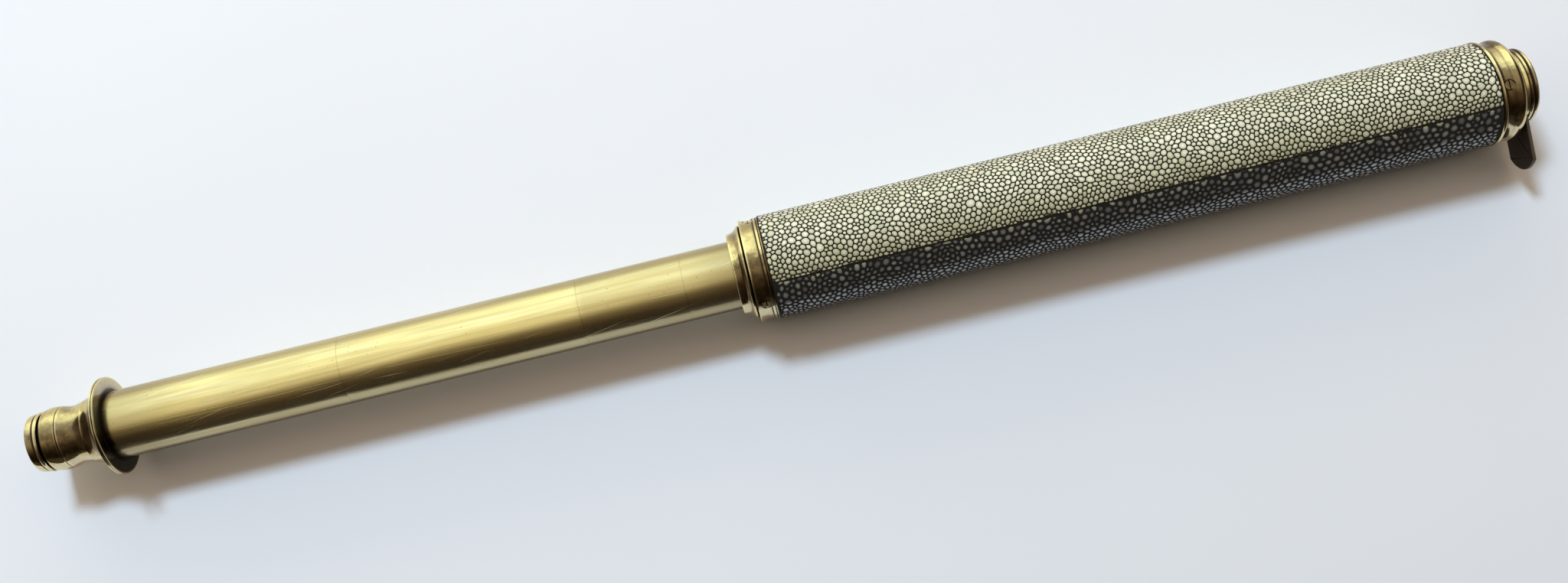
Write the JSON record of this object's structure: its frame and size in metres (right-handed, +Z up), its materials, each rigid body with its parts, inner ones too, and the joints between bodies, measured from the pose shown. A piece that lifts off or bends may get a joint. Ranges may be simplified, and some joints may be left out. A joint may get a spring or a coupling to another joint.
{
  "type": "telescope",
  "caption": "Hand telescope: round skin-covered barrel with moulded brass ends, a brass draw tube with a flanged eyepiece that slides to focus, and a sliding dust shutter.",
  "frame": {"origin": "on the optical axis, half way along the skin-covered barrel", "axes": "+X along the optical axis from the eyepiece towards the objective, +Z up as the telescope lies on a table with the shutter at its near side"},
  "size_m": [0.6654, 0.0584, 0.0462],
  "materials": {
    "turned_brass": "old lacquered brass, tarnished to olive and brown in the hollows",
    "draw_brass": "bare drawn brass with fine lengthwise scratches",
    "dark_brass": "dark brown tarnish, nearly black",
    "shagreen": "polished ray skin, pale green-grey beads with dark olive gaps",
    "wood": "plain turned hardwood",
    "steel": "blued spring steel",
    "glass": "clear polished lens glass"
  },
  "bodies": {
    "barrel": {"barrel_tube": "wood", "shagreen_skin": "shagreen", "eye_mount": "turned_brass", "eye_mount_screws": "turned_brass", "draw_sleeve": "turned_brass", "objective_mount": "turned_brass", "objective_mount_screws": "turned_brass", "shutter_housing": "turned_brass", "objective_cell": "turned_brass", "crown_lens": "glass", "flint_lens": "glass", "objective_ring": "turned_brass", "shutter_spring": "steel", "front_ring": "turned_brass", "front_ring_screws": "turned_brass"},
    "shutter": {"shutter_blade": "dark_brass"},
    "draw": {"draw_tube": "draw_brass", "draw_stop_ring": "turned_brass", "eyepiece_body": "turned_brass", "eyepiece_head": "turned_brass", "eye_lens": "glass", "eye_lens_ring": "turned_brass", "eye_cap": "turned_brass", "field_stop": "dark_brass", "field_tube": "turned_brass", "field_lens": "glass", "field_lens_ring": "turned_brass", "erector_tube": "turned_brass", "erector_front_cell": "turned_brass", "erector_front_lens": "glass", "erector_front_ring": "turned_brass", "erector_stop": "dark_brass", "erector_rear_cell": "turned_brass", "erector_rear_lens": "glass", "erector_rear_ring": "turned_brass"}
  },
  "joints": [
    {"name": "draw_slide", "type": "slide", "parent": "barrel", "child": "draw", "axis": [1, 0, 0], "range_m": [-0.0059, 0.2779]},
    {"name": "shutter_slide", "type": "slide", "parent": "barrel", "child": "shutter", "axis": [0, 0.9455, 0.3256], "range_m": [0, 0.0191]}
  ]
}
